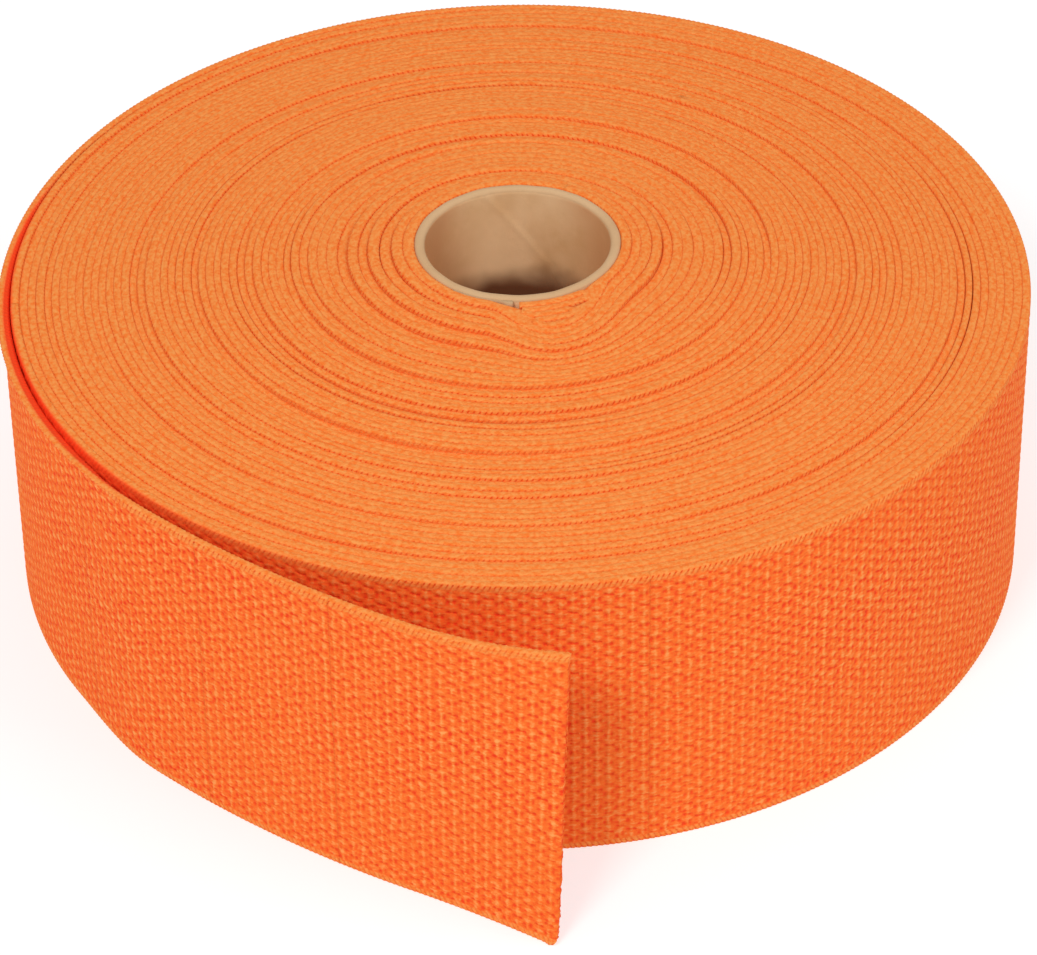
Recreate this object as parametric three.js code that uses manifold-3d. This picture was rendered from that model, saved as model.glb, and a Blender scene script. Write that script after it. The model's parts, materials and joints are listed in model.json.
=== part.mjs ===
// Bulk roll of flat woven webbing, wound on a cardboard core, with its cut end peeled off the roll.
//
// Millimetres, +Z up. The roll lies on the XY plane with its axis upright, and the origin is under
// the middle of the whole object's box. Bearings are degrees anticlockwise from +X, seen from above.

import * as THREE from 'three';
import { mergeVertices } from 'three/addons/utils/BufferGeometryUtils.js';
import Module from 'manifold-3d';

const wasm = await Module();
wasm.setup();

// ---- driving dimensions ------------------------------------------------------------------------

const webbingWidth = 50;
const webbingThickness = 1.2;
const rollRadius = 80;
const clearance = 0.3;

const coreRadius = 16;
const coreWall = 1.6;

// The turns have crept along the axis: the middle of the roll stands this much above its rim.
const centreRaise = 5.6;
const levelBandWidth = 8;

// The webbing's inner end is folded into a lump beside the core, and taped to it.
const startFrom = -92;
const startTo = -48;
const startFold = 4.2;
const startPeakSkew = 0.6;
const tapeFrom = -128;
const tapeTo = -95;
const tapeThickness = 0.4;
const tapeSetIn = 1;
const tapeProud = 0.4;

// The last turn lies on the roll, loosens on the way round and leaves it as the tail.
const lastTurnFrom = -120;
const looseFrom = 150;
const leaveBearing = 227;
const leaveRise = 1.9;

const tailBendRadius = 183;
const tailPieceLength = 24;
const hingeGap = 0.8;
const tipFlare = 5.8;
const tailPieces = ['webbing_tail_root', 'webbing_tail_middle', 'webbing_tail_tip'];

const roundSteps = 96;
const outlineStep = 4;
const tailStep = 1.25;

// ---- materials ---------------------------------------------------------------------------------

const webbing = () => new THREE.MeshStandardMaterial({ color: 0xf47a34, roughness: 0.85, metalness: 0 });
const kraft = () => new THREE.MeshStandardMaterial({ color: 0xbf976a, roughness: 0.9, metalness: 0 });
const tape = () => new THREE.MeshStandardMaterial({ color: 0xc9a883, roughness: 0.7, metalness: 0 });

// ---- helpers -----------------------------------------------------------------------------------

function polar(radius, bearing) {
  const angle = THREE.MathUtils.degToRad(bearing);
  return new THREE.Vector2(radius * Math.cos(angle), radius * Math.sin(angle));
}

// The plan outline of a curved wall: its inner and outer radius are functions of the bearing.
function bandShape({ from, to, step, inner, outer }) {
  const count = Math.ceil((to - from) / step);
  const bearings = Array.from({ length: count + 1 }, (_, i) => from + ((to - from) * i) / count);
  const outside = bearings.map((bearing) => polar(outer(bearing), bearing));
  const inside = bearings.map((bearing) => polar(inner(bearing), bearing)).reverse();
  return new THREE.Shape([...outside, ...inside]);
}

function upright(shape, bottom, top) {
  const geometry = new THREE.ExtrudeGeometry(shape, { depth: top - bottom, bevelEnabled: false });
  return geometry.translate(0, 0, bottom);
}

// A ring from its closed section, given as [radius, height] points anticlockwise.
function ring(section) {
  const points = [...section, section[0]].map(([radius, height]) => new THREE.Vector2(radius, height));
  return new THREE.LatheGeometry(points, roundSteps).rotateX(Math.PI / 2);
}

function solidOf(geometry) {
  const bare = geometry.clone();
  bare.deleteAttribute('normal');
  bare.deleteAttribute('uv');
  const merged = mergeVertices(bare, 1e-4);
  const mesh = new wasm.Mesh({
    numProp: 3,
    vertProperties: new Float32Array(merged.attributes.position.array),
    triVerts: new Uint32Array(merged.index.array),
  });
  return new wasm.Manifold(mesh);
}

function geometryOf(solid) {
  const mesh = solid.getMesh();
  const geometry = new THREE.BufferGeometry();
  geometry.setAttribute('position', new THREE.BufferAttribute(mesh.vertProperties, 3));
  geometry.setIndex(new THREE.BufferAttribute(mesh.triVerts, 1));
  geometry.computeVertexNormals();
  return geometry;
}

function named(name, geometry, material) {
  const mesh = new THREE.Mesh(geometry, material);
  mesh.name = name;
  return mesh;
}

// ---- cardboard core ----------------------------------------------------------------------------

const coreBottom = centreRaise;
const coreTop = centreRaise + webbingWidth;

function coreTube() {
  const bore = coreRadius - coreWall;
  return ring([
    [bore, coreBottom],
    [coreRadius, coreBottom],
    [coreRadius, coreTop],
    [bore, coreTop],
  ]);
}

// ---- inner end: the tape and the folded start of the webbing -------------------------------------

const againstCore = coreRadius + clearance;
const turnedBy = (length) => THREE.MathUtils.radToDeg(length / againstCore);

// Each takes how much it is grown by, so that the same outline also cuts its pocket in the roll.
function startTapeShape(grow) {
  return bandShape({
    from: tapeFrom - turnedBy(grow),
    to: tapeTo + turnedBy(grow),
    step: outlineStep,
    inner: () => againstCore - grow,
    outer: () => againstCore + tapeThickness + grow,
  });
}

function foldHeight(bearing) {
  const along = THREE.MathUtils.clamp((bearing - startFrom) / (startTo - startFrom), 0, 1);
  return startFold * Math.sin(Math.PI * along ** startPeakSkew);
}

function webbingStartShape(grow) {
  return bandShape({
    from: startFrom - turnedBy(grow),
    to: startTo + turnedBy(grow),
    step: outlineStep,
    inner: () => againstCore - grow,
    outer: (bearing) => againstCore + webbingThickness + foldHeight(bearing) + grow,
  });
}

// ---- wound turns ---------------------------------------------------------------------------------

const lastTurnInside = rollRadius - webbingThickness;

// Level round the rim, and rising from there to the core, above and below alike.
function woundTurns() {
  const outside = lastTurnInside - clearance;
  const shoulder = outside - levelBandWidth;
  const turns = solidOf(
    ring([
      [againstCore, centreRaise],
      [shoulder, 0],
      [outside, 0],
      [outside, webbingWidth],
      [shoulder, webbingWidth],
      [againstCore, webbingWidth + centreRaise],
    ]),
  );
  const cutTop = webbingWidth + 2 * centreRaise;
  const pockets = [startTapeShape(clearance), webbingStartShape(clearance)];
  return geometryOf(
    pockets.reduce((left, shape) => left.subtract(solidOf(upright(shape, -centreRaise, cutTop))), turns),
  );
}

// ---- last turn -------------------------------------------------------------------------------------

function looseRise(bearing) {
  return leaveRise * THREE.MathUtils.smoothstep(bearing, looseFrom, leaveBearing);
}

function lastTurn() {
  const shape = bandShape({
    from: lastTurnFrom,
    to: leaveBearing,
    step: outlineStep,
    inner: (bearing) => lastTurnInside + looseRise(bearing),
    outer: (bearing) => rollRadius + looseRise(bearing),
  });
  return upright(shape, 0, webbingWidth);
}

// ---- tail --------------------------------------------------------------------------------------------

// The tail keeps the roll's tangent where it leaves it, and bends less, about a centre of its own.
const tailCentre = polar(lastTurnInside + webbingThickness / 2 + leaveRise - tailBendRadius, leaveBearing);
const tailBearing = (along) => leaveBearing + THREE.MathUtils.radToDeg(along / tailBendRadius);
const tailInside = tailBendRadius - webbingThickness / 2;
const tailOutside = tailBendRadius + webbingThickness / 2;

function tailPiece(index) {
  const shape = bandShape({
    from: tailBearing(index * tailPieceLength + hingeGap),
    to: tailBearing((index + 1) * tailPieceLength),
    step: tailStep,
    inner: () => tailInside,
    outer: () => tailOutside,
  });
  return upright(shape, 0, webbingWidth);
}

// The free end leans: its foot stands further out than its top edge, more and more towards the cut.
function flareTip(geometry, index) {
  const start = tailBearing(index * tailPieceLength + hingeGap);
  const end = tailBearing((index + 1) * tailPieceLength);
  const position = geometry.attributes.position;
  const plan = new THREE.Vector2();
  for (let i = 0; i < position.count; i++) {
    plan.set(position.getX(i), position.getY(i));
    const bearing = THREE.MathUtils.radToDeg(plan.angle());
    const share = THREE.MathUtils.clamp((bearing - start) / (end - start), 0, 1);
    const lean = tipFlare * share ** 2 * (0.5 - position.getZ(i) / webbingWidth);
    plan.setLength(plan.length() + lean);
    position.setXY(i, plan.x, plan.y);
  }
  return geometry;
}

function tail() {
  const group = new THREE.Group();
  const tip = tailPieces.length - 1;
  tailPieces.forEach((name, index) => {
    const plain = tailPiece(index);
    const geometry = index === tip ? flareTip(plain, index) : plain;
    group.add(named(name, geometry, webbing()));
  });
  group.position.set(tailCentre.x, tailCentre.y, 0);
  return group;
}

// ---- assembly ------------------------------------------------------------------------------------------

const roll = new THREE.Group();
roll.add(
  named('core_tube', coreTube(), kraft()),
  named('start_tape', upright(startTapeShape(0), coreBottom + tapeSetIn, coreTop + tapeProud), tape()),
  named('webbing_start', upright(webbingStartShape(0), coreBottom, coreTop), webbing()),
  named('webbing_wound_turns', woundTurns(), webbing()),
  named('webbing_last_turn', lastTurn(), webbing()),
  tail(),
);

const box = new THREE.Box3().setFromObject(roll, true);
roll.position.set(-(box.min.x + box.max.x) / 2, -(box.min.y + box.max.y) / 2, 0);

const webbingRoll = new THREE.Group();
webbingRoll.add(roll);

export default webbingRoll;
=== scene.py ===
"""A bulk roll of flat orange webbing on a cardboard core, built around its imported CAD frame.

The webbing is one strip. Its middle line is drawn in plan from the folded start beside the core,
round every turn of the roll, to the cut end of the loose tail, and each piece is a stretch of it.
Plan sizes are millimetres from the roll's axis until a mesh is made. Bearings are degrees
anticlockwise from +X, seen from above, and "along" is the distance along the strip.
"""

import json
import math

import bpy
import numpy as np
from mathutils import Matrix, Vector


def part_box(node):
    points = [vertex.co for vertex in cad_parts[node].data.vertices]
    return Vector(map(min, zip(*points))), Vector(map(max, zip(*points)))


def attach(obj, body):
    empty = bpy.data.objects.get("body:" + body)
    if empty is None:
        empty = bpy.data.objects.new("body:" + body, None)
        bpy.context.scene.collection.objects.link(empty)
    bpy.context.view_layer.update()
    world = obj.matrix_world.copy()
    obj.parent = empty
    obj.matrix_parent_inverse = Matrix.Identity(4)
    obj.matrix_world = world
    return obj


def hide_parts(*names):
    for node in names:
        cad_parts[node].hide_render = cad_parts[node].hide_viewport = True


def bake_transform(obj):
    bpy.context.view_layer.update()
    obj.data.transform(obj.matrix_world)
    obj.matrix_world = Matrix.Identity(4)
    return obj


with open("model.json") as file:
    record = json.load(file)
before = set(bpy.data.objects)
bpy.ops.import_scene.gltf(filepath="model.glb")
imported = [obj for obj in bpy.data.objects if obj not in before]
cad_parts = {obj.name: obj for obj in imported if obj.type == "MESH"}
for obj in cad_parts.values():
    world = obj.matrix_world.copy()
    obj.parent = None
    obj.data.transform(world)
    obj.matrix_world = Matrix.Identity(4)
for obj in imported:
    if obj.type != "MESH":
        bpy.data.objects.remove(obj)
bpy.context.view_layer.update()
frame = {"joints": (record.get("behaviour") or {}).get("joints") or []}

MM = 0.001

# ---- sizes from the frame ------------------------------------------------------------------------

core_low, core_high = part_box("core_tube")
rim_low, rim_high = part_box("webbing_last_turn")
tape_low, tape_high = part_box("start_tape")

AXIS = np.array([(core_low.x + core_high.x) / 2, (core_low.y + core_high.y) / 2]) / MM
CORE_RADIUS = (core_high.x - core_low.x) / 2 / MM
CORE_TOP = core_high.z / MM
WIDTH = (rim_high.z - rim_low.z) / MM
CENTRE_RAISE = core_low.z / MM

hinges = {j["child"]: np.array(j["pos_m"][:2]) / MM - AXIS for j in frame["joints"]}
hinge_points = [hinges[body] for body in ("tail_root", "tail_middle", "tail_tip")]

# ---- the webbing's sizes ---------------------------------------------------------------------------

THICKNESS = 1.14
EDGE = THICKNESS / 2
TAIL_LENGTH = 72
TIP_FLARE = 5.8
LEVEL_BAND = 8

# The strip is soft: pressed between these thicknesses, and thicker only where it wraps the fold.
# Neighbouring turns overlap by a hair, so that no light passes, or part by up to the opening.
THICKEST, THINNEST = 1.9, 0.8
THICKEST_HALF_AT_FOLD = 2.6
OVERLAP = 0.08
OPENING = 0.2
HAIRLINE = 0.02

# The spiral is coarser near the core than outside, and its pitch changes between two of its turns.
TURNS = 48
STEPS_PER_TURN = 1200
START_BEARING = -40
LEAVE_BEARING = 227
INNER_PITCH = 1.52
OUTER_PITCH = 1.2
TIGHT_FROM, TIGHT_TO = 7, 13
PITCH_SPREAD = 0.16
HUGGING_TURNS = 4
CLIMB_FROM = 0.82

# Where the strip's inner and outer sides are free of their neighbours: from, to, turns before its end.
INNER_FREE = (0.25, 0.2)
OUTER_FREE = (1.3, 1.25)

# The last turn loosens between here and where the tail leaves. It opens at its top edge first, and
# right down only over the last degrees.
LOOSE_BEARING = 150
LOOSE_RISE = 1.65
LOOSE_THROUGHOUT = 16

# The start of the strip is folded to and fro beside the core, between these bearings, and its last
# layer runs under the first turn. The turns over the fold bulge, less and less outwards.
FOLD_PITCH = 1.25
FOLD_ENDS = [(-90, -54), (-89, -54), (-84, -66), (-84, -66), (-80, -40)]
FOLD_STEPS = 90
FOLD_ROUNDING = 7
FOLD_RUN_DOWN = 14
BULGE_HEIGHT = 6.0
BULGE_PEAK = -77
BULGE_LEFT, BULGE_RIGHT = 27, 42
BULGE_TURNS = 11.5
BULGE_FROM = 0.3

# The tape ends in a small wad, in the notch where the first turn leaves the core for the fold.
NOTCH = -92
NOTCH_TURN = (NOTCH - START_BEARING) / 360 + 1
PAST_NOTCH = 0.004
TAPE_FROM = -128
TAPE_THICKNESS = 0.22
WAD = 0.7
WAD_ROOM = (0.035, 0.012)

# The weave repeats every two ribs along the strip. Neighbouring ribs are shifted by half a repeat.
RIB = 1.72
SHIFT = 2.8
ROW = 0.93
BEAD = 0.86
SELVEDGE = 1.4
SELVEDGE_BLEND = 0.5
RELIEF = 0.11
WOBBLE = 0.16
WOBBLE_MARGIN = 1

# How unevenly the turns have crept up, at the rim and near the core, and how far their edges dip.
UNEVEN_LONG, UNEVEN_SHORT = 0.5, 0.4
UNEVEN_AT_RIM, UNEVEN_INSIDE = 0.1, 0.3
UNEVEN_RISE = 0.25
SETTLED_LENGTH = 720
DIP = 0.5
SHORT_DIP = 0.4 * DIP
DIPS_FROM = (120, 160)
DIPS_TO = (600, 540)
DIP_REACH = 3

# Each uneven run along the strip: how many times it changes from end to end, and its seed.
PITCH_RUN = (60, 5)
OPENING_RUN = (140, 8)
HEIGHT_LONG_RUN = (150, 11)
HEIGHT_SHORT_RUN = (46, 12)
DIP_LONG_RUN = (170, 15)
DIP_SHORT_RUN = (420, 16)
# Each uneven patch on its face: the size of a patch, and its seed.
WOBBLE_ALONG = (1.9, 21)
WOBBLE_UP = (2.3, 22)


def smooth(x, low, high):
    t = np.clip((x - low) / (high - low), 0, 1)
    return t * t * (3 - 2 * t)


def turn_to(bearing):
    """A unit vector for each bearing, as rows of x and y."""
    angle = np.radians(bearing)
    return np.stack([np.cos(angle), np.sin(angle)], axis=-1)


def patchy(u, v, cell, seed):
    """Smooth random values, about -1 to 1, over the strip's face: one new value each cell."""
    table = np.random.default_rng(seed).normal(0, 0.5, (257, 257))
    left_u, left_v = np.floor(u / cell), np.floor(v / cell)
    share_u, share_v = smooth(u / cell - left_u, 0, 1), smooth(v / cell - left_v, 0, 1)
    i, j = left_u.astype(int) % 256, left_v.astype(int) % 256
    near = table[i, j] * (1 - share_v) + table[i, j + 1] * share_v
    far = table[i + 1, j] * (1 - share_v) + table[i + 1, j + 1] * share_v
    return near * (1 - share_u) + far * share_u


def wandering(count, knots, seed):
    """A smooth random run of count values, about -1 to 1, that changes over that many knots."""
    values = np.random.default_rng(seed).normal(0, 0.5, knots + 3)
    at = np.linspace(0, knots, count)
    left = at.astype(int)
    share = smooth(at - left, 0, 1)
    return values[left] * (1 - share) + values[left + 1] * share


# ---- the strip's middle line in plan ---------------------------------------------------------------

FINE_STEP = 0.2
TAIL_STEPS = 400
HINGE_OFFSET = 0.4
CORE_CLEARANCE = 0.3
FIRST_RADIUS = CORE_RADIUS + CORE_CLEARANCE + EDGE


def tail_circle():
    """The centre and radius of the circle through the tail's three hinges."""
    a, b, c = hinge_points
    rows = np.array([b - a, c - a])
    centre = np.linalg.solve(rows, np.array([(b @ b - a @ a) / 2, (c @ c - a @ a) / 2]))
    return centre, np.linalg.norm(a - centre)


TAIL_CENTRE, TAIL_RADIUS = tail_circle()
LEAVE_RADIUS = TAIL_RADIUS + TAIL_CENTRE @ turn_to(LEAVE_BEARING)
SPIRAL_END = LEAVE_RADIUS - LOOSE_RISE


def bearing_of(turns):
    """The bearing of a place on the last turn, counted on from the turn before."""
    return START_BEARING + 360 * (turns - TURNS)


def spiral_radius():
    """The radius of every turn from the fold to where the tail leaves, by how many turns in it is."""
    last = TURNS + (LEAVE_BEARING - START_BEARING) / 360
    turns = np.linspace(0, last, int(last * STEPS_PER_TURN))
    pitch = OUTER_PITCH + (INNER_PITCH - OUTER_PITCH) * (1 - smooth(turns, TIGHT_FROM, TIGHT_TO))
    pitch *= 1 + PITCH_SPREAD * wandering(len(turns), *PITCH_RUN)
    grown = np.cumsum(pitch)
    radius = FIRST_RADIUS + (SPIRAL_END - FIRST_RADIUS) * grown / grown[-1]
    # The first turns hug the core, and climb by a pitch only where they pass the fold.
    part = turns % 1
    hugging = np.clip(1 - turns / HUGGING_TURNS, 0, 1)
    radius -= INNER_PITCH * part * (1 - smooth(part, CLIMB_FROM, 1)) * hugging
    beside = (START_BEARING + 360 * turns - BULGE_PEAK + 180) % 360 - 180
    across = np.where(beside < 0, beside / BULGE_LEFT, beside / BULGE_RIGHT)
    hump = np.cos(np.clip(across, -1, 1) * math.pi / 2) ** 2
    radius += BULGE_HEIGHT * hump * np.clip(1 - (turns - 1) / BULGE_TURNS, 0, 1) * (turns > BULGE_FROM)
    radius += LOOSE_RISE * smooth(bearing_of(turns), LOOSE_BEARING, LEAVE_BEARING)
    return turns, radius


def fold_top(bearings):
    """The outer radius of the layers laid on the core, before the last one covers them."""
    layers = sum(1.0 * ((bearings > low) & (bearings < high)) for low, high in FOLD_ENDS[:-1])
    return CORE_RADIUS + np.where(layers > 0, FIRST_RADIUS - CORE_RADIUS - EDGE, 0) + layers * FOLD_PITCH


def half_thicknesses(turns, radius):
    """The soft webbing fills the room between its neighbours: half of it inwards, half outwards."""
    last = turns[-1]
    overlap = OVERLAP - OPENING * smooth(wandering(len(turns), *OPENING_RUN), 0.2, 1.1)
    inwards = (radius - np.interp(turns - 1, turns, radius)) / 2 + overlap
    outwards = (np.interp(turns + 1, turns, radius) - radius) / 2 + overlap
    # Up to the notch it lies on the core or on the tape, and from there on the fold's layers.
    on_core = radius - CORE_RADIUS - HAIRLINE
    wad = WAD * smooth(turns, NOTCH_TURN - WAD_ROOM[0], NOTCH_TURN - WAD_ROOM[1])
    over_tape = turns > NOTCH_TURN - (NOTCH - TAPE_FROM) / 360
    on_core = np.where(over_tape, on_core - TAPE_THICKNESS - wad, on_core)
    inwards = np.where(turns < NOTCH_TURN, on_core, inwards)
    bearing = bearing_of(turns) + 360 * (TURNS - 1)
    on_fold = np.where(bearing < FOLD_ENDS[-1][0], radius - fold_top(bearing), EDGE)
    inwards = np.where((turns > NOTCH_TURN + PAST_NOTCH) & (turns < 1), on_fold, inwards)
    # Near its end it has no neighbour outside, and then none inside either.
    inner_free, outer_free = (
        smooth(turns, last - start, last - end) for start, end in (INNER_FREE, OUTER_FREE)
    )
    inwards = inwards + (EDGE - inwards) * inner_free
    outwards = outwards + (EDGE - outwards) * outer_free
    widest = np.where(turns < 1, THICKEST_HALF_AT_FOLD, THICKEST / 2)[:, None]
    return np.clip(np.stack([inwards, outwards], axis=1), THINNEST / 2, widest)


def fold_line(turns, radius):
    """The folded start: layers laid to and fro on the core, the last under the first whole turn."""
    points = []
    rooms = []
    for layer, (low, high) in enumerate(FOLD_ENDS):
        ends = (low, high) if layer % 2 == 0 else (high, low)
        bearings = np.linspace(*ends, FOLD_STEPS)
        radii = np.full(FOLD_STEPS, FIRST_RADIUS + layer * FOLD_PITCH)
        room = np.full((FOLD_STEPS, 2), FOLD_PITCH / 2 + OVERLAP)
        if layer == len(FOLD_ENDS) - 1:
            above = np.interp((bearings - START_BEARING) / 360 + 1, turns, radius) - EDGE
            radii = np.maximum(above - EDGE, FIRST_RADIUS)
            radii = radii + (FIRST_RADIUS - radii) * smooth(bearings, high - FOLD_RUN_DOWN, high)
            room = np.stack([radii - fold_top(bearings), above - radii + OVERLAP], axis=1)
        points.append(turn_to(bearings) * radii[:, None])
        rooms.append(np.clip(room, EDGE, THICKEST_HALF_AT_FOLD))
    return np.concatenate(points), np.concatenate(rooms)


def tail_line():
    """The loose end at rest: an arc on the circle through its hinges."""
    start = math.degrees(math.atan2(*(hinge_points[0] - TAIL_CENTRE)[::-1]))
    start -= math.degrees(HINGE_OFFSET / TAIL_RADIUS)
    bearings = np.linspace(start, start + math.degrees(TAIL_LENGTH / TAIL_RADIUS), TAIL_STEPS)
    return TAIL_CENTRE + turn_to(bearings) * TAIL_RADIUS


def rounded(points, values, window):
    """The line at even steps, its corners rounded over that many steps, and its values there."""
    length = np.concatenate([[0], np.cumsum(np.linalg.norm(np.diff(points, axis=0), axis=1))])
    at = np.arange(0, length[-1], FINE_STEP)
    even = np.stack([np.interp(at, length, points[:, i]) for i in (0, 1)], axis=1)
    kernel = np.hanning(window + 2)[1:-1]
    kernel /= kernel.sum()
    half = window // 2
    held = np.concatenate([np.repeat(even[:1], half, 0), even, np.repeat(even[-1:], half, 0)])
    turned = np.stack([np.convolve(held[:, i], kernel, "valid") for i in (0, 1)], axis=1)
    return turned, np.stack([np.interp(at, length, values[:, i]) for i in (0, 1)], axis=1)


spiral_turns, spiral_radii = spiral_radius()
spiral = turn_to(START_BEARING + 360 * spiral_turns) * spiral_radii[:, None]
fold, fold_room = rounded(*fold_line(spiral_turns, spiral_radii), FOLD_ROUNDING)
# The fold's last two steps would crowd the spiral's first.
fold, fold_room = fold[:-2], fold_room[:-2]
line = np.concatenate([fold, spiral, tail_line()[1:]])
on_spiral = slice(len(fold), len(fold) + len(spiral))

along = np.concatenate([[0], np.cumsum(np.linalg.norm(np.diff(line, axis=0), axis=1))])
tangent = np.gradient(line, axis=0)
tangent /= np.linalg.norm(tangent, axis=1, keepdims=True)
outward = np.stack([tangent[:, 1], -tangent[:, 0]], axis=1)

STRIP_LENGTH = along[-1]
LEAVE = STRIP_LENGTH - TAIL_LENGTH

halves = np.full((len(line), 2), EDGE)
halves[: len(fold)] = fold_room
halves[on_spiral] = half_thicknesses(spiral_turns, spiral_radii)


def loose_gap():
    """How far the loosening turn's top edge stands off: lower down it lies on the turn inside it."""
    bearing = bearing_of(spiral_turns)
    gap = np.zeros(len(line))
    gap[on_spiral] = LOOSE_RISE * smooth(bearing, LOOSE_BEARING, LEAVE_BEARING)
    gap[on_spiral] *= 1 - smooth(bearing, LEAVE_BEARING - LOOSE_THROUGHOUT, LEAVE_BEARING)
    return gap


tuck = loose_gap()

# The slot's walls, reddened with painted light: over what gap it reddens, and over which degrees it
# starts and ends.
SLOT_GAP = 0.25
SLOT_START = 25
SLOT_END = (24, 36)


def painted_slot_light_shares():
    """How much painted light reddens each side of the strip as a wall of the slot: its inner side, then
    its outer side.
    """
    walls = np.zeros((len(line), 2))
    walls[:, 0] = smooth(tuck, 0, SLOT_GAP)
    outside_it = bearing_of(spiral_turns) + 360
    starts = smooth(outside_it, LOOSE_BEARING, LOOSE_BEARING + SLOT_START)
    ends = smooth(outside_it, LEAVE_BEARING - SLOT_END[0], LEAVE_BEARING + SLOT_END[1])
    walls[on_spiral, 1] = starts * (1 - ends)
    return walls


painted_slot_light = painted_slot_light_shares()


def foot_heights():
    """How high the strip's lower edge stands: the turns have crept up towards the core."""
    radius = np.linalg.norm(line, axis=1)
    shoulder = SPIRAL_END - LEVEL_BAND
    rise = np.clip((shoulder - radius) / (shoulder - CORE_RADIUS), 0, 1)
    uneven = UNEVEN_LONG * wandering(len(line), *HEIGHT_LONG_RUN)
    uneven = uneven + UNEVEN_SHORT * wandering(len(line), *HEIGHT_SHORT_RUN)
    uneven *= UNEVEN_AT_RIM + UNEVEN_INSIDE * smooth(rise, 0, UNEVEN_RISE)
    uneven *= np.where(along > LEAVE - SETTLED_LENGTH, 0, 1)
    return np.maximum(CENTRE_RAISE * rise + uneven, 0)


def edge_dips():
    """How far the strip's upper edge dips: some stretches of the inner turns sit a little low."""
    dips = DIP * smooth(wandering(len(line), *DIP_LONG_RUN), 0.05, 0.7)
    dips += SHORT_DIP * smooth(wandering(len(line), *DIP_SHORT_RUN), 0, 0.7)
    return dips * smooth(along, *DIPS_FROM) * (1 - smooth(along, *(LEAVE - end for end in DIPS_TO)))


foot = foot_heights()
dip = edge_dips()


def at_turn(bearing, turns_before_end):
    """How far along the strip that bearing is, on the turn so many before the last."""
    wanted = TURNS - turns_before_end + (bearing - START_BEARING) / 360
    return float(np.interp(wanted, spiral_turns, along[on_spiral]))


# ---- the weave, as a height ------------------------------------------------------------------------

# Each mark on the face, in its rib's own coordinates: centre along and across, size, depth.
MARKS = [
    (-0.4, 0.0, 0.32, 0.24, 1.5),
    (0.1, -0.08, 0.5, 0.18, 1.1),
    (0.55, -0.15, 0.32, 0.24, 1.3),
    (-0.42, -1.33, 0.26, 0.24, 0.9),
    (-0.42, -1.96, 0.3, 0.24, 1.3),
    (0.1, -2.0, 0.4, 0.16, 0.6),
    (0.45, -2.08, 0.34, 0.22, 1.1),
    (-0.5, 1.77, 0.32, 0.36, 1.5),
    (0.0, 1.85, 0.4, 0.16, 0.5),
    (0.42, 1.95, 0.26, 0.44, 1.3),
]
BAR_SIZE = 0.42
BAR_HEIGHT = 0.75
ROW_HEIGHT = 0.2
BEAD_LEAN = 0.5
BEAD_DEPTH = 0.6


def weave_height(u, v):
    """The face's height, about -1 to 1, at u along and v up from the strip's lower edge."""
    rib = np.round(u / RIB)
    du = u - rib * RIB
    dv = (v + SHIFT * rib + SHIFT) % (2 * SHIFT) - SHIFT
    face = BAR_HEIGHT * np.exp(-((du / BAR_SIZE) ** 2)) + ROW_HEIGHT * np.cos(2 * math.pi * v / ROW)
    for at_u, at_v, size_u, size_v, depth in MARKS:
        face -= depth * np.exp(-(((du - at_u) / size_u) ** 2) - ((dv - at_v) / size_v) ** 2)
    edge = np.minimum(v, WIDTH - v)
    bead = BEAD_DEPTH * (2 * np.abs(np.cos(math.pi * (u + BEAD_LEAN * edge) / BEAD)) - 1)
    return face + (bead - face) * (1 - smooth(edge, SELVEDGE - SELVEDGE_BLEND, SELVEDGE))


# ---- the strip's meshes ------------------------------------------------------------------------------

# A woven side has enough rows to carry the relief of the weave.
FACE_ROWS = 159
FACE_STEP = RIB / 6
BACK_ROWS = 14

# The edges are rounded by so many rows, squarer than a half circle.
CROWN = 7
SQUARE = 0.55

# The inner side's top two rows stand apart from the rest, so that the slot's flare can bend there.
FLARE_BEND = WIDTH - 0.9
FLARE_FOOT = WIDTH - 1.4
# The flare goes down from here, further where the gap is wider, and at least so far.
FLARE_TOP = 0.25
FLARE_DEPTH = 0.65
FLARE_LEAST = 0.1

# The hot-cut end: its last stations, how it is drawn thin, and how its line is ragged and rounded.
CUT_CLEAR = 0.4
CUT_STATIONS = (0.3, 0.12, 0.0)
MELT_LENGTH = 0.45
MELT_THINNING = 0.25
RAGGED_LENGTH = 2.5
RAGGED_WAVE, RAGGED_RIPPLE = 0.13, 0.07
CORNER_CUT = 1.1
CORNER_SIZE = 0.6


def inner_heights(rows):
    """The heights of the inner side's rows, from the top down."""
    if rows == 2:
        return np.array([WIDTH - EDGE, EDGE])
    return np.concatenate([[WIDTH - EDGE, FLARE_BEND], np.linspace(FLARE_FOOT, EDGE, rows - 2)])


def section(outer_rows, inner_rows):
    """The strip's closed section, from the outer side's foot up, over the top and down inside.

    For each place it gives its height, which way the thickness and the relief push it, out and up,
    and whether the weave's relief is carved there.
    """
    outer = np.linspace(EDGE, WIDTH - EDGE, outer_rows)
    round_over = np.linspace(0, math.pi, CROWN + 2)[1:-1]
    over = np.sin(round_over) ** SQUARE
    beside = np.sign(np.cos(round_over)) * np.abs(np.cos(round_over)) ** SQUARE
    woven, woven_inside = outer_rows == FACE_ROWS, inner_rows == FACE_ROWS
    return {
        "height": np.concatenate(
            [outer, WIDTH - EDGE + EDGE * over, inner_heights(inner_rows), EDGE - EDGE * over]
        ),
        "push_out": np.concatenate([np.ones(outer_rows), beside, -np.ones(inner_rows), -beside]),
        "push_up": np.concatenate([np.zeros(outer_rows), over, np.zeros(inner_rows), -over]),
        "carved": np.repeat([woven, woven, woven_inside, woven], [outer_rows, CROWN, inner_rows, CROWN]),
    }


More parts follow.
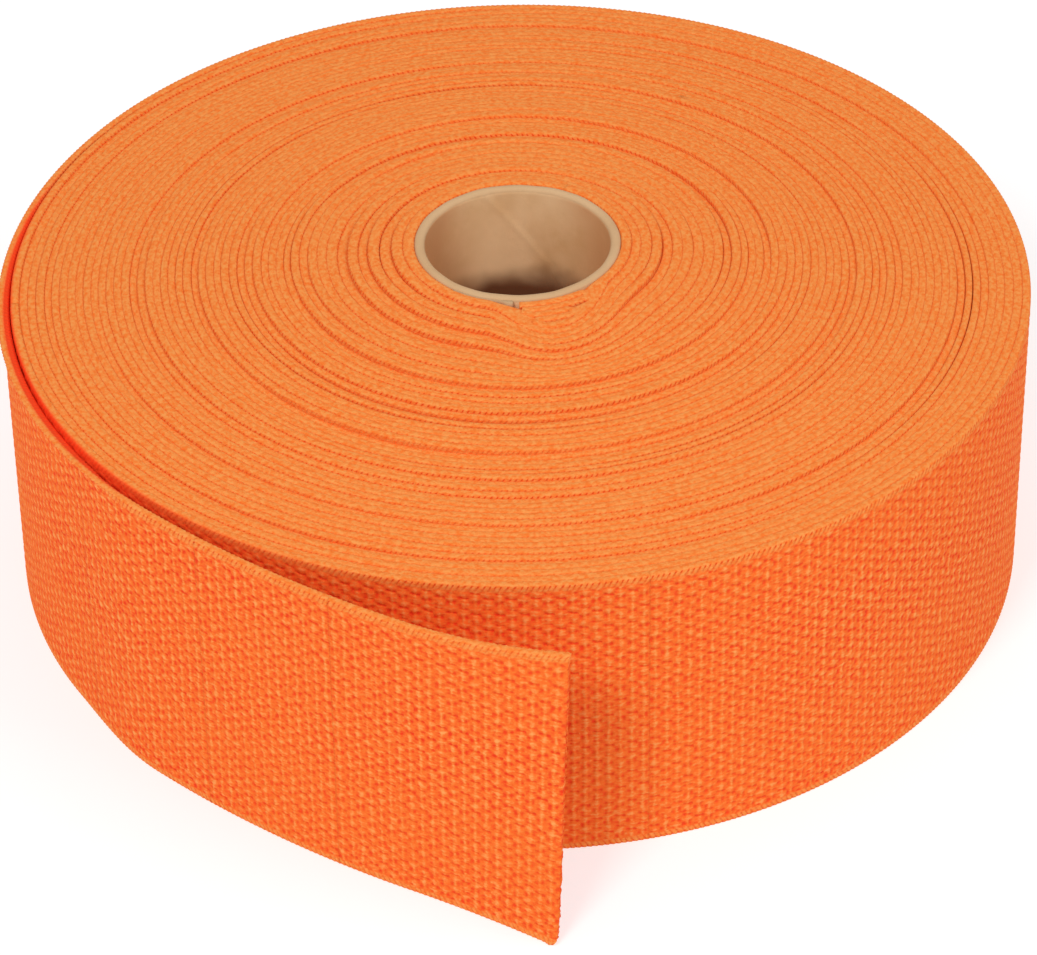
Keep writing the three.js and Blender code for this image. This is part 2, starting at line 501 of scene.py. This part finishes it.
def grid_object(name, points, ring=False):
    """A closed mesh from points[station, place round the section]. Its ends are capped or joined."""
    stations, around = points.shape[:2]
    mesh = bpy.data.meshes.new(name)
    index = np.arange(stations * around).reshape(stations, around)
    here = index if ring else index[:-1]
    there = np.roll(index, -1, axis=0) if ring else index[1:]
    quads = np.stack(
        [here, there, np.roll(there, -1, axis=1), np.roll(here, -1, axis=1)], axis=-1
    ).reshape(-1, 4)
    loops = quads.ravel()
    sizes = np.full(len(quads), 4)
    if not ring:
        loops = np.concatenate([loops, index[0], index[-1][::-1]])
        sizes = np.concatenate([sizes, [around, around]])
    starts = np.concatenate([[0], np.cumsum(sizes)[:-1]])
    mesh.vertices.add(stations * around)
    mesh.vertices.foreach_set("co", (points.reshape(-1, 3) * MM).astype(np.float32).ravel())
    mesh.loops.add(len(loops))
    mesh.loops.foreach_set("vertex_index", loops.astype(np.int32))
    mesh.polygons.add(len(sizes))
    mesh.polygons.foreach_set("loop_start", starts.astype(np.int32))
    mesh.update(calc_edges=True)
    mesh.polygons.foreach_set("use_smooth", np.arange(len(sizes)) < len(quads))
    mesh.validate()
    made = bpy.data.objects.new(name, mesh)
    bpy.context.scene.collection.objects.link(made)
    return made


def write_values(made, name, kind, field, values):
    attribute = made.data.attributes.new(name, kind, "POINT")
    attribute.data.foreach_set(field, values.astype(np.float32).ravel())


def column(u, values):
    """What is kept for the whole strip, at u: a column, with one row for each station."""
    return np.interp(u, along, values)[:, None]


def station_places(start, end, step, cut_end):
    """The places along the strip where a piece has a section, closer together at a cut end."""
    u = np.linspace(start, end, int(round((end - start) / step)) + 1)
    if cut_end:
        u = np.concatenate([u[u < end - CUT_CLEAR], end - np.array(CUT_STATIONS)])
    return u


def strip_piece(name, start, end, step, outer_rows, inner_rows, cut_end=False):
    """A stretch of the strip as a closed mesh, with the weave's relief where its rows are fine."""
    u = station_places(start, end, step, cut_end)
    shape = section(outer_rows, inner_rows)
    push_out = shape["push_out"]
    uu, vv = np.meshgrid(u, shape["height"], indexing="ij")
    inside_edge = np.clip(np.minimum(vv, WIDTH - vv) - WOBBLE_MARGIN, 0, 1)
    wobble = WOBBLE * inside_edge * (outer_rows == FACE_ROWS)
    woven_u = uu + wobble * patchy(uu, vv, *WOBBLE_ALONG)
    woven_v = vv + wobble * patchy(uu, vv, *WOBBLE_UP)
    relief = RELIEF * weave_height(woven_u, woven_v) * shape["carved"]

    half_in, half_out = (column(u, halves[:, i]) for i in (0, 1))
    gap = column(u, tuck)
    flare = smooth(vv, WIDTH - FLARE_TOP - FLARE_DEPTH * gap - FLARE_LEAST, WIDTH - FLARE_TOP)
    through = push_out * np.where(push_out > 0, half_out, half_in)
    through = through + relief * push_out - gap * (1 - flare)
    dipped = column(u, dip) * smooth(vv, WIDTH - DIP_REACH, WIDTH - EDGE)
    up = np.maximum(vv + relief * shape["push_up"], 0) - dipped

    # The free end leans: its foot stands further out than its top edge.
    share = np.clip((uu - (STRIP_LENGTH - TAIL_LENGTH / 3)) / (TAIL_LENGTH / 3), 0, 1)
    out = through + TIP_FLARE * share**2 * (0.5 - vv / WIDTH)
    x, y = (column(u, line[:, i]) for i in (0, 1))
    nx, ny = (column(u, outward[:, i]) for i in (0, 1))
    if cut_end:
        out, onward = melted(out, u, vv)
        x = x + onward * -ny
        y = y + onward * nx
    places = [AXIS[0] + x + nx * out, AXIS[1] + y + ny * out, column(u, foot) + up]
    made = grid_object(name, np.stack(places, axis=-1))

    # The material reads each point's place on the strip, along, up and through it, and how much painted
    # light reddens it as a wall of the slot.
    woven = np.stack([woven_u, woven_v, through], axis=-1)
    write_values(made, "weave", "FLOAT_VECTOR", "vector", woven)
    wall_in, wall_out = (column(u, painted_slot_light[:, i]) for i in (0, 1))
    wall = np.where(push_out < 0, wall_in, wall_out) * smooth(np.abs(push_out), 0.2, 0.95)
    write_values(made, "slot", "FLOAT", "value", wall)
    dress(made, webbing_material)
    return made


def melted(out, u, vv):
    """The hot-cut end, drawn thin: how far out its places are, and how far onward they reach."""
    near = smooth(u, STRIP_LENGTH - MELT_LENGTH, STRIP_LENGTH)[:, None]
    middle = TIP_FLARE * (0.5 - vv / WIDTH)
    thin = middle + (out - middle) * (1 - MELT_THINNING * near)
    ragged = RAGGED_WAVE * np.sin(vv * 2.1) * np.sin(vv * 0.83 + 1) + RAGGED_RIPPLE * np.sin(vv * 6.7)
    corner = CORNER_CUT * np.exp(-vv / CORNER_SIZE)
    close = smooth(u, STRIP_LENGTH - RAGGED_LENGTH, STRIP_LENGTH)[:, None]
    return np.where(near > 0, thin, out), close * (ragged - corner)


def dress(made, material):
    made.data.materials.append(material)


# ---- materials -------------------------------------------------------------------------------------


class Graph:
    """A material's node tree, with short calls for the nodes that its pattern is built from."""

    def __init__(self, name):
        self.material = bpy.data.materials.new(name)
        self.material.use_nodes = True
        self.tree = self.material.node_tree
        self.shader = self.tree.nodes["Principled BSDF"]

    def node(self, kind, **settings):
        made = self.tree.nodes.new(kind)
        for key, value in settings.items():
            setattr(made, key, value)
        return made

    def feed(self, socket, value):
        if isinstance(value, bpy.types.NodeSocket):
            self.tree.links.new(value, socket)
        else:
            socket.default_value = value

    def math(self, operation, *values):
        made = self.node("ShaderNodeMath", operation=operation)
        for socket, value in zip(made.inputs, values):
            self.feed(socket, value)
        return made.outputs[0]

    def total(self, values):
        result = values[0]
        for value in values[1:]:
            result = self.math("ADD", result, value)
        return result

    def about_zero(self, value, amount):
        """A noise about a half, moved to be about zero and made that much stronger."""
        return self.math("MULTIPLY", self.math("SUBTRACT", value, 0.5), amount)

    def ramp(self, value, low, high):
        made = self.node("ShaderNodeMapRange", interpolation_type="SMOOTHSTEP")
        self.feed(made.inputs["Value"], value)
        made.inputs["From Min"].default_value = low
        made.inputs["From Max"].default_value = high
        return made.outputs["Result"]

    def vector(self, x, y, z):
        made = self.node("ShaderNodeCombineXYZ")
        for socket, value in zip(made.inputs, (x, y, z)):
            self.feed(socket, value)
        return made.outputs[0]

    def split(self, vector):
        made = self.node("ShaderNodeSeparateXYZ")
        self.feed(made.inputs[0], vector)
        return made.outputs

    def noise(self, vector, scale, detail=2.0, roughness=0.5):
        made = self.node("ShaderNodeTexNoise")
        self.feed(made.inputs["Vector"], vector)
        made.inputs["Scale"].default_value = scale
        made.inputs["Detail"].default_value = detail
        made.inputs["Roughness"].default_value = roughness
        return made.outputs["Fac"]

    def noise_along(self, u, rate):
        """A noise that changes only along the strip, at that many changes each millimetre."""
        return self.noise(self.vector(self.math("MULTIPLY", u, rate), 0.0, 0.0), 1.0)

    def mix(self, factor, first, second):
        made = self.node("ShaderNodeMix", data_type="RGBA")
        self.feed(made.inputs["Factor"], factor)
        self.feed(made.inputs["A"], first)
        self.feed(made.inputs["B"], second)
        return made.outputs["Result"]

    def bump(self, height, distance, strength, over=None):
        made = self.node("ShaderNodeBump")
        made.inputs["Strength"].default_value = strength
        made.inputs["Distance"].default_value = distance
        self.feed(made.inputs["Height"], height)
        if over is not None:
            self.feed(made.inputs["Normal"], over)
        return made.outputs["Normal"]


# Painted shade in the weave's low marks.
MARK_PAINTED_SHADE = (0.86, 0.05, 0.014, 1)
FACE_ORANGE = (0.92, 0.17, 0.027, 1)
# Painted highlight on the weave's raised ribs.
RIB_PAINTED_HIGHLIGHT = (0.93, 0.35, 0.1, 1)
DRIFT_ORANGE = (0.92, 0.2, 0.028, 1)
# Painted light: the beads' oranges are lighter and yellower than the face's, for the crowns that face up
# to the light.
BEAD_ORANGE = (0.91, 0.195, 0.03, 1)
BEAD_LIGHT = (0.92, 0.335, 0.085, 1)
# Painted shade in the grooves between turns and between the beads.
GROOVE_PAINTED_SHADE = (0.8, 0.08, 0.012, 1)
# Painted light: the red of light passed between the slot's walls.
SLOT_PAINTED_LIGHT = (1.0, 0.085, 0.02, 1)
SHEEN_TINT = (1.0, 0.45, 0.15, 1)


def face_height(g, u, v):
    """The woven face's height in nodes, the same as in weave_height."""
    rib = g.math("ROUND", g.math("DIVIDE", u, RIB))
    du = g.math("SUBTRACT", u, g.math("MULTIPLY", rib, RIB))
    dv = g.math("WRAP", g.math("MULTIPLY_ADD", rib, SHIFT, v), SHIFT, -SHIFT)

    def squared(value, size):
        return g.math("POWER", g.math("DIVIDE", value, size), 2.0)

    def falling(power):
        return g.math("POWER", math.e, g.math("MULTIPLY", power, -1.0))

    def mark(at_u, at_v, size_u, size_v, depth):
        far_along = squared(g.math("SUBTRACT", du, at_u), size_u)
        far_up = squared(g.math("SUBTRACT", dv, at_v), size_v)
        return g.math("MULTIPLY", falling(g.math("ADD", far_along, far_up)), -depth)

    bar = g.math("MULTIPLY", falling(squared(du, BAR_SIZE)), BAR_HEIGHT)
    rows = g.math("MULTIPLY", g.math("COSINE", g.math("MULTIPLY", v, 2 * math.pi / ROW)), ROW_HEIGHT)
    return g.total([bar, rows, *[mark(*sizes) for sizes in MARKS]])


def bead_height(g, u, edge):
    """The selvedge's height: leaning beads, spaced less evenly than the mesh's own."""
    uneven = g.math("MULTIPLY", g.noise_along(u, 0.2), 1.5)
    lean = g.math("ADD", g.math("MULTIPLY_ADD", edge, BEAD_LEAN, u), uneven)
    bead = g.math("ABSOLUTE", g.math("COSINE", g.math("MULTIPLY", lean, math.pi / BEAD)))
    return g.math("MULTIPLY_ADD", bead, 2.0 * BEAD_DEPTH, -BEAD_DEPTH)


def face_colour(g, u, v, height, fibres, patches):
    """Painted shade, deep red-orange, in the weave's marks, full orange on the face, and painted
    highlight, light orange, along the raised ribs.
    """
    rough = g.math("ADD", height, g.about_zero(fibres, 3.0))
    rough = g.math("ADD", rough, g.about_zero(patches, 2.8))
    colour = g.mix(g.ramp(rough, -1.4, 0.35), MARK_PAINTED_SHADE, FACE_ORANGE)
    colour = g.mix(g.ramp(rough, 0.1, 1.4), colour, RIB_PAINTED_HIGHLIGHT)
    drift = g.noise(g.vector(g.math("MULTIPLY", u, 0.02), g.math("MULTIPLY", v, 0.05), 0.0), 1.0)
    return g.mix(g.math("MULTIPLY", g.ramp(drift, 0.3, 0.7), 0.2), colour, DRIFT_ORANGE)


def selvedge_colour(g, u, edge, bead, fibres, patches):
    """Beads lightened with painted light, with painted shade, red, between them and down in the grooves
    between turns, more in long arcs.
    """
    stipple = g.ramp(g.math("ADD", fibres, g.math("MULTIPLY", patches, 0.6)), 0.6, 1.0)
    beads = g.mix(stipple, BEAD_ORANGE, BEAD_LIGHT)
    valley = g.ramp(g.math("MULTIPLY", bead, 1 / BEAD_DEPTH), 0.5, -0.7)
    arcs = g.ramp(g.noise_along(u, 0.007), 0.36, 0.6)
    # Painted shade: red between the beads and down the crowns into the grooves between turns.
    groove_shade = g.math("MULTIPLY_ADD", valley, 0.75, 0.1)
    groove_shade = g.math("MULTIPLY", groove_shade, g.math("MULTIPLY_ADD", arcs, 0.75, 0.45))
    top_only = g.math("MULTIPLY_ADD", g.ramp(edge, 0.3, 0.7), -0.55, 1.0)
    groove_shade = g.math("MULTIPLY", groove_shade, top_only)
    return g.mix(g.math("MULTIPLY", g.ramp(edge, 0.01, 0.28), groove_shade), beads, GROOVE_PAINTED_SHADE)


def webbing():
    """Orange polyester webbing. Its pattern follows each point's place on the strip."""
    g = Graph("orange_webbing")
    u, v, through = g.split(g.node("ShaderNodeAttribute", attribute_name="weave").outputs["Vector"])
    edge = g.math("MINIMUM", v, g.math("SUBTRACT", WIDTH, v))
    inside = g.ramp(edge, SELVEDGE - SELVEDGE_BLEND, SELVEDGE)
    bead = bead_height(g, u, edge)
    height = g.math("SUBTRACT", face_height(g, u, v), bead)
    height = g.math("ADD", bead, g.math("MULTIPLY", height, inside))

    deep = g.math("MULTIPLY", through, 1.6)
    threads = g.vector(g.math("MULTIPLY", u, 1.3), g.math("MULTIPLY", v, 3.0), deep)
    fibres = g.noise(threads, 1.0, 3.0, 0.6)
    patches = g.noise(g.vector(u, v, deep), 0.9, 3.0, 0.65)
    face = face_colour(g, u, v, height, fibres, patches)
    beads = selvedge_colour(g, u, edge, bead, fibres, patches)
    colour = g.mix(g.math("SUBTRACT", 1.0, inside), face, beads)
    # Painted light: the red that light takes on, passing from wall to wall of the open slot, is painted
    # onto the slot's walls.
    walls = g.node("ShaderNodeAttribute", attribute_name="slot").outputs["Fac"]
    g.feed(g.shader.inputs["Base Color"], g.mix(walls, colour, SLOT_PAINTED_LIGHT))

    g.shader.inputs["Roughness"].default_value = 0.85
    g.shader.inputs["Specular IOR Level"].default_value = 0.15
    g.shader.inputs["Specular Tint"].default_value = SHEEN_TINT
    # The bump is weak on the strip's edge, where turns lie side by side.
    off_edge = g.math("MULTIPLY_ADD", g.ramp(edge, 0.2, 0.5), 0.85, 0.15)
    woven = g.bump(g.math("MULTIPLY", height, off_edge), 0.1 * MM, 0.8)
    g.feed(g.shader.inputs["Normal"], g.bump(fibres, 0.05 * MM, 0.5, over=woven))
    return g.material


# Painted shade darkens the bore between these depths and turns the bore's two sides a redder brown; the
# rim has its own brown.
SHADE_FROM, SHADE_TO = 12.5, 18.5
RIM_BAND = (0.7, 0.3)
RIM_BROWN = (0.58, 0.36, 0.19, 1)
SIDE_SHADE_BAND = (6, 15)
SIDE_PAINTED_SHADE = (0.6, 0.24, 0.08, 1)


def kraft(name, light, dark, deep, grain):
    """Kraft board: matt brown, mottled, with short fibres, and painted shade where it goes deep and on
    the bore's two sides.
    """
    g = Graph(name)
    place = g.node("ShaderNodeTexCoord").outputs["Object"]
    x, y, z = g.split(place)
    mottle = g.noise(place, 260.0, 4.0, 0.6)
    cloud = g.noise(place, 70.0, 3.0, 0.55)
    fibre = g.noise(place, grain, 5.0, 0.7)
    colour = g.mix(g.ramp(cloud, 0.32, 0.68), dark, light)
    colour = g.mix(g.math("MULTIPLY", g.ramp(mottle, 0.4, 0.75), 0.45), colour, light)

    # Painted shade: deep in the bore, where little light reaches, the board takes the deep colour.
    level = g.math("ADD", g.about_zero(cloud, 8 * MM), z)
    down = g.ramp(level, (CORE_TOP - SHADE_TO) * MM, (CORE_TOP - SHADE_FROM) * MM)
    colour = g.mix(down, deep, colour)
    rim = g.ramp(z, *((CORE_TOP - depth) * MM for depth in RIM_BAND))
    colour = g.mix(g.math("MULTIPLY", rim, 0.7), colour, RIM_BROWN)
    # Painted shade: the bore's two sides, left and right of its middle, are painted a redder brown.
    beside = g.math("ABSOLUTE", g.math("SUBTRACT", x, AXIS[0] * MM))
    beside = g.math("ADD", g.about_zero(cloud, 12 * MM), beside)
    beside = g.math("MULTIPLY", g.ramp(beside, *(reach * MM for reach in SIDE_SHADE_BAND)), 0.7)
    beside = g.math("MULTIPLY", beside, g.math("SUBTRACT", 1.0, rim))
    colour = g.mix(beside, colour, SIDE_PAINTED_SHADE)

    g.feed(g.shader.inputs["Base Color"], colour)
    g.shader.inputs["Roughness"].default_value = 0.85
    g.shader.inputs["Specular IOR Level"].default_value = 0.25
    g.feed(g.shader.inputs["Normal"], g.bump(fibre, 0.12 * MM, 0.5))
    return g.material


webbing_material = webbing()
# Each deep colour is painted shade, for where the board goes deep.
core_material = kraft(
    "kraft_board",
    light=(0.9, 0.6, 0.33, 1),
    dark=(0.72, 0.42, 0.19, 1),
    deep=(0.16, 0.055, 0.02, 1),
    grain=900.0,
)
tape_material = kraft(
    "kraft_tape",
    light=(0.62, 0.41, 0.23, 1),
    dark=(0.52, 0.33, 0.18, 1),
    deep=(0.45, 0.28, 0.14, 1),
    grain=1500.0,
)

# ---- the core and the tape ---------------------------------------------------------------------------

CORE_WALL = 1.6
BORE_RADIUS = CORE_RADIUS - CORE_WALL
CORE_AROUND, BORE_ROWS = 240, 90
BORE_INSET = 0.4
# Each place on a rim, from outside to the bore: its radius, and how far it is set in from the end.
CORE_RIM = [
    (CORE_RADIUS, 0.3),
    (CORE_RADIUS - 0.25, 0.04),
    (CORE_RADIUS - 0.8, 0),
    (BORE_RADIUS + 0.25, 0.06),
]
# The rims are a little crushed, in waves: their height, how many there are round the rim, and phase.
CRUSHED = [(0.04, 7, 1), (0.032, 17, 0)]
CRUSHED_REACH = 0.5

# The spiral seam in the bore: a groove, its depth and width, beside a lip that fades away.
SEAM_BEARING = 112
SEAM_DROP = 8 / 24
GROOVE_DEPTH, GROOVE_WIDTH = 0.16, 0.55
LIP_HEIGHT, LIP_EDGE, LIP_REACH = 0.06, 0.4, 3

TAPE_STEPS = 60
TAPE_TO = NOTCH - 1
WAD_RISE = (8, 2)
TAPE_SET_IN = 0.55
WAD_PROUD = 0.1
# The tape's section: shares of its thickness and its height, with the top corners rounded off.
TAPE_SECTION = ((0, 0), (1, 0), (1, 0.99), (0.85, 1), (0.15, 1), (0, 0.99))


def core_section():
    """The tube's section from its outer foot, up over the rim, down the bore and round below."""
    above = [(radius, CORE_TOP - inset) for radius, inset in CORE_RIM]
    below = [(radius, CENTRE_RAISE + inset) for radius, inset in CORE_RIM[::-1]]
    rows = np.linspace(CENTRE_RAISE + BORE_INSET, CORE_TOP - BORE_INSET, BORE_ROWS)[::-1]
    return np.array([below[-1], *above, *((BORE_RADIUS, row) for row in rows), *below[:-1]])


def core_piece():
    """The tube with a spiral seam down its bore and slightly crushed rims."""
    radius, height = (np.tile(values, (CORE_AROUND, 1)) for values in core_section().T)
    bearing = np.linspace(0, 360, CORE_AROUND, endpoint=False)[:, None] + 0 * radius
    seam_z = CORE_TOP - SEAM_DROP * ((SEAM_BEARING - bearing) % 360)
    off = (height - seam_z) * math.cos(math.atan(SEAM_DROP))
    step = -GROOVE_DEPTH * np.exp(-((off / GROOVE_WIDTH) ** 2))
    step += LIP_HEIGHT * np.tanh(off / LIP_EDGE) * np.exp(-((off / LIP_REACH) ** 2))
    radius = radius + np.where(np.isclose(radius, BORE_RADIUS), step, 0)
    waves = sum(size * np.sin(np.radians(bearing * count) + phase) for size, count, phase in CRUSHED)
    from_end = np.minimum(height - CENTRE_RAISE, CORE_TOP - height)
    height = height + waves * np.exp(-((from_end / CRUSHED_REACH) ** 2))
    angle = np.radians(bearing)
    places = [AXIS[0] + radius * np.cos(angle), AXIS[1] + radius * np.sin(angle), height]
    made = grid_object("kraft_core", np.stack(places, axis=-1), ring=True)
    dress(made, core_material)
    return made


def tape_piece():
    """The tape's strip on the core. Its end beside the fold is doubled over into a small wad."""
    bearings = np.linspace(TAPE_FROM, TAPE_TO, TAPE_STEPS)
    wad = smooth(bearings, *(TAPE_TO - degrees for degrees in WAD_RISE))
    inside = CORE_RADIUS + HAIRLINE
    outside = inside + TAPE_THICKNESS - 2 * HAIRLINE + WAD * wad
    top = tape_high.z / MM - TAPE_SET_IN + WAD_PROUD * wad
    bottom = tape_low.z / MM
    rows = []
    for share_out, share_up in TAPE_SECTION:
        radius = inside + (outside - inside) * share_out
        height = bottom + (top - bottom) * share_up
        plan = turn_to(bearings) * radius[:, None] + AXIS
        rows.append(np.concatenate([plan, height[:, None]], axis=1))
    made = grid_object("kraft_tape", np.stack(rows, axis=1))
    dress(made, tape_material)
    return made


# ---- the pieces ------------------------------------------------------------------------------------

# Where the pieces of the strip meet: a bearing, and how many turns that is before the last.
FIRST_TURN_END = (60, TURNS)
HALFWAY = (60, 20)
LAST_TURN_START = (185, 1)
ROOT_REACH = 17
OUTER_PIECES = 4

# Each piece's mesh: the step along the strip, and the rows up its outer and its inner side.
FOLD_MESH = {"step": 0.45, "outer_rows": 8, "inner_rows": 8}
WOUND_MESH = {"step": 2.1, "outer_rows": 2, "inner_rows": 2}
OUTER_MESH = {"step": FACE_STEP, "outer_rows": FACE_ROWS, "inner_rows": BACK_ROWS}
TAIL_MESH = {"step": FACE_STEP, "outer_rows": FACE_ROWS, "inner_rows": FACE_ROWS}


def to_rib(distance):
    """The nearest valley between two ribs, where two pieces of the strip can meet."""
    return (round(distance / RIB - 0.5) + 0.5) * RIB


def stretches(edges):
    return list(zip(edges[:-1], edges[1:]))


core = core_piece()
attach(core, "roll")
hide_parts("core_tube")
tape = tape_piece()
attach(tape, "roll")
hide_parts("start_tape")

first_turn_end, halfway, last_turn_start = (
    to_rib(at_turn(*place)) for place in (FIRST_TURN_END, HALFWAY, LAST_TURN_START)
)
fold_piece = strip_piece("webbing_fold", 0, first_turn_end, **FOLD_MESH)
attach(fold_piece, "roll")
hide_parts("webbing_start")

for number, (start, end) in enumerate(stretches([first_turn_end, halfway, last_turn_start])):
    piece = strip_piece(f"webbing_turns_{number + 1}", start, end, **WOUND_MESH)
    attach(piece, "roll")
    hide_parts("webbing_wound_turns")

loose_start = to_rib(LEAVE - ROOT_REACH)
outer_edges = [to_rib(place) for place in np.linspace(last_turn_start, loose_start, OUTER_PIECES + 1)]
for number, (start, end) in enumerate(stretches(outer_edges)):
    piece = strip_piece(f"webbing_outer_{number + 1}", start, end, **OUTER_MESH)
    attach(piece, "roll")
    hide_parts("webbing_last_turn")

# Each of the tail's pieces crosses one hinge.
TAIL_NODES = ["webbing_tail_root", "webbing_tail_middle", "webbing_tail_tip"]
PIECE_LENGTH = TAIL_LENGTH / len(TAIL_NODES)


tail_edges = [to_rib(LEAVE + PIECE_LENGTH * (count + 0.5)) for count in range(len(TAIL_NODES) - 1)]
for number, (start, end) in enumerate(stretches([loose_start, *tail_edges, STRIP_LENGTH])):
    last = number == len(TAIL_NODES) - 1
    piece = strip_piece(f"webbing_tail_{number + 1}", start, end, **TAIL_MESH, cut_end=last)
    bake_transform(piece)
    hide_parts(TAIL_NODES[number])

# ---- floor, light and camera -----------------------------------------------------------------------

FLOOR_REACH = 2.0
FLOOR_WHITE = (0.55, 0.55, 0.55, 1)
FLOOR_GLOW = 0.56
WORLD_STRENGTH = 0.55

CAMERA_PITCH = 37.007
CAMERA_ROLL = -0.8
CAMERA_DISTANCE = 758.4
CAMERA_LENS = 160.3
SENSOR_WIDTH = 36
LOOK_AT = (-0.371, 12.907, 0.0)


def floor():
    """A white sweep that glows a little, like a light table."""
    mesh = bpy.data.meshes.new("floor")
    corners = [(x * FLOOR_REACH, y * FLOOR_REACH, 0) for x, y in ((-1, -1), (1, -1), (1, 1), (-1, 1))]
    mesh.from_pydata(corners, [], [(0, 1, 2, 3)])
    made = bpy.data.objects.new("floor", mesh)
    bpy.context.scene.collection.objects.link(made)
    material = bpy.data.materials.new("pale_floor")
    material.use_nodes = True
    shader = material.node_tree.nodes["Principled BSDF"]
    shader.inputs["Base Color"].default_value = FLOOR_WHITE
    shader.inputs["Roughness"].default_value = 0.9
    shader.inputs["Specular IOR Level"].default_value = 0.1
    shader.inputs["Emission Color"].default_value = (1, 1, 1, 1)
    shader.inputs["Emission Strength"].default_value = FLOOR_GLOW
    mesh.materials.append(material)


def soft_box(name, azimuth, elevation, distance, size, watts):
    """A square area light that looks at the roll. Azimuth 0 is in front, towards -Y."""
    data = bpy.data.lights.new(name, "AREA")
    data.shape = "SQUARE"
    data.size = size
    data.energy = watts
    lamp = bpy.data.objects.new(name, data)
    bpy.context.scene.collection.objects.link(lamp)
    a, e = math.radians(azimuth), math.radians(elevation)
    middle = Vector((0, 0, WIDTH * MM / 2))
    offset = Vector((math.sin(a) * math.cos(e), -math.cos(a) * math.cos(e), math.sin(e)))
    lamp.location = middle + offset * distance
    lamp.rotation_euler = offset.to_track_quat("Z", "Y").to_euler()


def studio():
    world = bpy.data.worlds.new("studio")
    world.use_nodes = True
    world.node_tree.nodes["Background"].inputs["Color"].default_value = (1, 1, 1, 1)
    world.node_tree.nodes["Background"].inputs["Strength"].default_value = WORLD_STRENGTH
    bpy.context.scene.world = world
    soft_box("key", azimuth=-26, elevation=47, distance=1.1, size=0.25, watts=4.2)
    soft_box("fill", azimuth=66, elevation=50, distance=1.1, size=0.5, watts=2.6)
    bpy.context.scene.view_settings.view_transform = "Standard"


def camera():
    """A long lens in front of the roll, looking down on it, and a little tilted."""
    data = bpy.data.cameras.new("camera")
    data.lens = CAMERA_LENS
    data.sensor_width = SENSOR_WIDTH
    made = bpy.data.objects.new("camera", data)
    bpy.context.scene.collection.objects.link(made)
    pitch = math.radians(CAMERA_PITCH)
    target = Vector((AXIS[0] + LOOK_AT[0], AXIS[1] + LOOK_AT[1], LOOK_AT[2])) * MM
    back = Vector((0, -math.cos(pitch), math.sin(pitch)))
    turned = Matrix.Rotation(math.radians(90 - CAMERA_PITCH), 4, "X")
    roll = Matrix.Rotation(math.radians(CAMERA_ROLL), 4, "Z")
    made.matrix_world = Matrix.Translation(target + back * CAMERA_DISTANCE * MM) @ turned @ roll
    bpy.context.scene.camera = made


floor()
studio()
camera()
